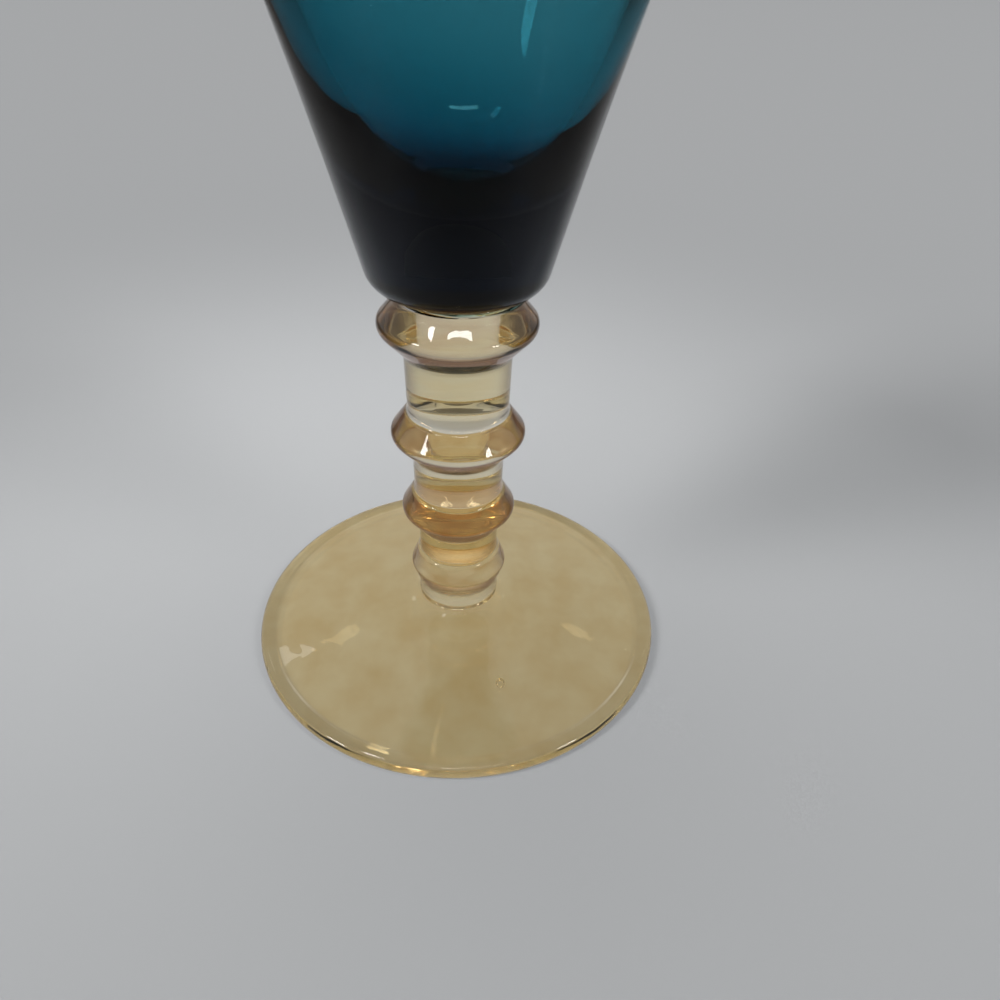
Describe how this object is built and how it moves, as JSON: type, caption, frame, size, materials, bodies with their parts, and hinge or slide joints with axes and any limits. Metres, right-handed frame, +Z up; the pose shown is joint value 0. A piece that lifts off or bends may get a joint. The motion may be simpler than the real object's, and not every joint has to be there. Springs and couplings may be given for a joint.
{
  "type": "wine goblet",
  "caption": "Stemmed wine goblet of welded glass: flared teal bowl with a heavy base, amber stem of stacked rings and short columns, shallow cone foot.",
  "frame": {"origin": "centre of the foot, on the table", "axes": "+Z up along the axis of the goblet, towards the mouth of the bowl"},
  "size_m": [0.082, 0.082, 0.1582],
  "materials": {
    "bowl_glass": "deep teal, fire polished",
    "ring_glass": "amber lustre, fire polished",
    "column_glass": "faint amber lustre, fire polished",
    "foot_glass": "amber lustre, fire polished"
  },
  "bodies": {
    "root": {"bowl": "bowl_glass", "bowl_merese": "ring_glass", "upper_column": "column_glass", "upper_ring": "ring_glass", "middle_column": "column_glass", "middle_ring": "ring_glass", "lower_column": "column_glass", "lower_ring": "ring_glass", "foot_collar": "column_glass", "foot": "foot_glass"}
  },
  "joints": []
}
